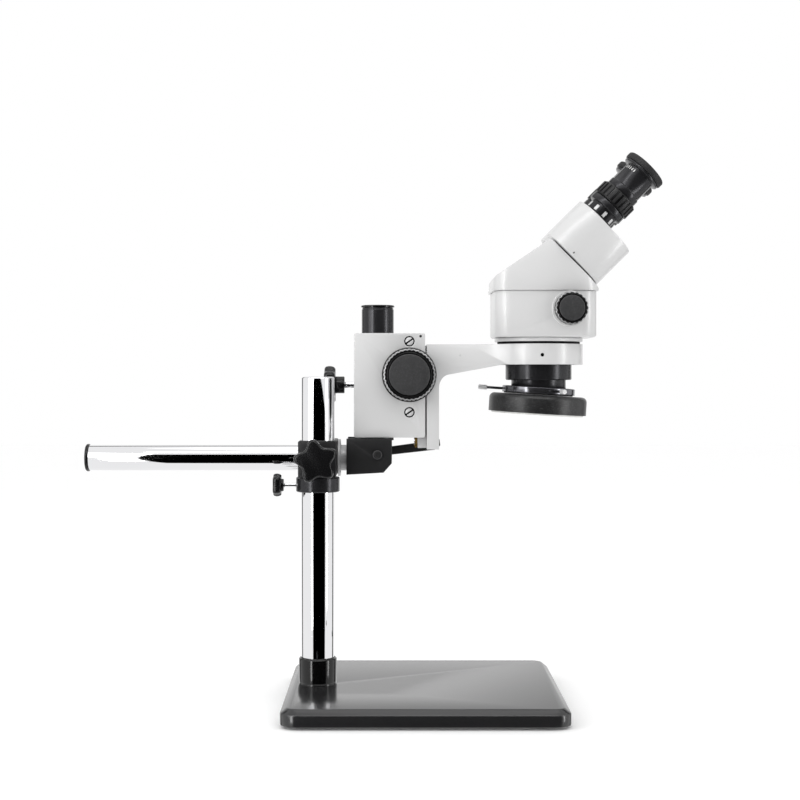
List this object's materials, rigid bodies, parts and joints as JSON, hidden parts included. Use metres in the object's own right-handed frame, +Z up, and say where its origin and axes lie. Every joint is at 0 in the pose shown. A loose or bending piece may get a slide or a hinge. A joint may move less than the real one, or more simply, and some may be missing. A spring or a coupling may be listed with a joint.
{
  "type": "stereo microscope",
  "caption": "Binocular zoom stereo microscope on a boom stand with a square base, rack focus, tilting boom joint and ring light.",
  "frame": {"origin": "centre of the base plate's top face, the stage; the bench is 18 mm below it", "axes": "+Z up; +X along the boom towards the microscope; +Y away from the near side, so that the boom passes behind the post"},
  "size_m": [0.5618, 0.26, 0.5288],
  "materials": {
    "white_enamel": "glossy white enamel on cast aluminium",
    "black_satin": "satin black powder coat",
    "black_gloss": "gloss black paint",
    "chrome": "polished hard chrome on steel",
    "steel": "turned bright steel",
    "black_plastic": "moulded black plastic",
    "rubber": "matt black rubber",
    "black_anodised": "black anodised aluminium",
    "glass": "coated optical glass",
    "diffuser": "frosted diffuser",
    "brass": "machined brass"
  },
  "bodies": {
    "stand": {"base_plate": "black_satin", "rubber_foot_near_left": "rubber", "rubber_foot_near_right": "rubber", "rubber_foot_far_left": "rubber", "rubber_foot_far_right": "rubber", "base_bolt": "steel", "post_socket": "black_gloss", "vertical_post": "chrome"},
    "collar": {"safety_collar": "black_satin"},
    "collar_screw": {"collar_thumbscrew": "black_plastic"},
    "block": {"cross_block": "black_satin", "boom_bush": "steel"},
    "post_clamp": {"post_clamp_knob": "black_plastic"},
    "boom_clamp": {"boom_clamp_knob": "black_plastic"},
    "boom": {"boom_tube": "chrome", "boom_end_cap": "black_plastic"},
    "knuckle": {"knuckle_fork": "black_satin", "tilt_bolt": "steel"},
    "tilt_lever": {"tilt_lever": "black_satin"},
    "tilt_head": {"tilt_tongue": "black_satin", "rack_post": "black_satin", "rack_post_cap": "black_satin"},
    "focus_case": {"focus_block": "white_enamel", "block_screw_lower": "steel", "block_screw_upper": "steel"},
    "case_lock": {"rack_lock_knob": "black_plastic"},
    "focus_drive": {"focus_shaft": "steel", "focus_knob_near": "black_plastic", "focus_knob_far": "black_plastic"},
    "focus_slide": {"focus_arm": "white_enamel", "dovetail_rail": "steel", "gear_rack": "brass"},
    "head": {"head_collar": "white_enamel", "lower_housing": "white_enamel", "top_cover": "white_enamel", "objective_barrel": "black_anodised", "objective_lens": "glass", "pivot_plate": "black_satin", "ring_light_housing": "black_plastic", "ring_light_diffuser": "diffuser", "ring_light_adapter": "black_satin"},
    "zoom": {"zoom_shaft": "steel", "zoom_knob_near": "black_plastic", "zoom_knob_far": "black_plastic"},
    "zoom_carrier": {"zoom_lens_carrier": "black_anodised"},
    "near_pod": {"prism_near_pod": "white_enamel", "eyepiece_tube_near": "black_anodised", "eyepiece_body_near": "black_anodised", "eye_lens_near": "glass", "eyecup_near": "rubber"},
    "near_dioptre": {"dioptre_ring_near": "black_plastic"},
    "far_pod": {"prism_far_pod": "white_enamel", "eyepiece_tube_far": "black_anodised", "eyepiece_body_far": "black_anodised", "eye_lens_far": "glass", "eyecup_far": "rubber"},
    "far_dioptre": {"dioptre_ring_far": "black_plastic"},
    "lamp_screw_1": {"adapter_thumbscrew_1": "steel"},
    "lamp_screw_2": {"adapter_thumbscrew_2": "steel"},
    "lamp_screw_3": {"adapter_thumbscrew_3": "steel"}
  },
  "joints": [
    {"name": "collar_height", "type": "slide", "parent": "stand", "child": "collar", "axis": [0, 0, 1], "range_m": [-0.11, 0.055]},
    {"name": "collar_screw_turn", "type": "hinge", "parent": "collar", "child": "collar_screw", "pos_m": [-0.1015, 0, 0.1903], "axis": [-1, 0, 0], "range_deg": [0, 360]},
    {"name": "block_swing", "type": "hinge", "parent": "collar", "child": "block", "pos_m": [-0.1015, 0, 0.1985], "axis": [0, 0, 1], "range_deg": [-35, 45]},
    {"name": "post_clamp_turn", "type": "hinge", "parent": "block", "child": "post_clamp", "pos_m": [-0.1015, -0.021, 0.215], "axis": [0, -1, 0], "range_deg": [0, 360]},
    {"name": "boom_clamp_turn", "type": "hinge", "parent": "block", "child": "boom_clamp", "pos_m": [-0.1015, 0.054, 0.215], "axis": [0, 1, 0], "range_deg": [0, 360]},
    {"name": "boom_slide", "type": "slide", "parent": "block", "child": "boom", "axis": [1, 0, 0], "range_m": [-0.003, 0.19]},
    {"name": "boom_roll", "type": "hinge", "parent": "boom", "child": "knuckle", "pos_m": [-0.0743, 0.036, 0.215], "axis": [1, 0, 0], "range_deg": [-40, 0]},
    {"name": "tilt_lever_turn", "type": "hinge", "parent": "knuckle", "child": "tilt_lever", "pos_m": [-0.0443, 0.036, 0.219], "axis": [0, 1, 0], "range_deg": [0, 60]},
    {"name": "microscope_tilt", "type": "hinge", "parent": "knuckle", "child": "tilt_head", "pos_m": [-0.0443, 0.036, 0.219], "axis": [0, 1, 0], "range_deg": [0, 30]},
    {"name": "rack_post_turn", "type": "hinge", "parent": "tilt_head", "child": "focus_case", "pos_m": [-0.0443, 0.036, 0.2354], "axis": [0, 0, 1], "range_deg": [-65, 0]},
    {"name": "rack_lock_turn", "type": "hinge", "parent": "focus_case", "child": "case_lock", "pos_m": [-0.0672, 0.036, 0.2866], "axis": [-1, 0, 0], "range_deg": [0, 360]},
    {"name": "focus_travel", "type": "slide", "parent": "focus_case", "child": "focus_slide", "axis": [0, 0, 1], "range_m": [-0.02, 0.03]},
    {"name": "focus_turn", "type": "hinge", "parent": "focus_case", "child": "focus_drive", "pos_m": [-0.0135, 0.036, 0.2965], "axis": [0, -1, 0], "range_deg": [-230, 344]},
    {"name": "head_turn", "type": "hinge", "parent": "focus_slide", "child": "head", "pos_m": [0.114, 0.036, 0.3064], "axis": [0, 0, 1], "continuous": true},
    {"name": "zoom_travel", "type": "slide", "parent": "head", "child": "zoom_carrier", "axis": [0, 0, 1], "range_m": [-0.0045, 0.0045]},
    {"name": "zoom_turn", "type": "hinge", "parent": "head", "child": "zoom", "pos_m": [0.14, 0.036, 0.3597], "axis": [0, -1, 0], "range_deg": [-130, 130]},
    {"name": "near_pod_swing", "type": "hinge", "parent": "head", "child": "near_pod", "pos_m": [0.15153, 0.01, 0.39941], "axis": [0.7071, 0, 0.7071], "range_deg": [-12, 15]},
    {"name": "far_pod_swing", "type": "hinge", "parent": "head", "child": "far_pod", "pos_m": [0.15153, 0.062, 0.39941], "axis": [0.7071, 0, 0.7071], "range_deg": [-15, 12]},
    {"name": "near_dioptre_turn", "type": "hinge", "parent": "near_pod", "child": "near_dioptre", "pos_m": [0.16709, 0.004, 0.44749], "axis": [0.7071, 0, 0.7071], "range_deg": [-120, 120]},
    {"name": "far_dioptre_turn", "type": "hinge", "parent": "far_pod", "child": "far_dioptre", "pos_m": [0.16709, 0.068, 0.44749], "axis": [0.7071, 0, 0.7071], "range_deg": [-120, 120]},
    {"name": "lamp_screw_turn_1", "type": "hinge", "parent": "head", "child": "lamp_screw_1", "pos_m": [0.08682, 0.0408, 0.28286], "axis": [-0.983, 0.1736, 0.0601], "range_deg": [0, 360]},
    {"name": "lamp_screw_turn_2", "type": "hinge", "parent": "head", "child": "lamp_screw_2", "pos_m": [0.12344, 0.01002, 0.28062], "axis": [0.3414, -0.9397, -0.0209], "range_deg": [0, 360]},
    {"name": "lamp_screw_turn_3", "type": "hinge", "parent": "head", "child": "lamp_screw_3", "pos_m": [0.13174, 0.05718, 0.28012], "axis": [0.6416, 0.766, -0.0392], "range_deg": [0, 360]}
  ],
  "couplings": [
    {"joint": "focus_turn", "follows": "focus_travel", "rad_per_m": 200},
    {"joint": "zoom_turn", "follows": "zoom_travel", "rad_per_m": 500},
    {"joint": "far_pod_swing", "follows": "near_pod_swing", "ratio": -1}
  ]
}
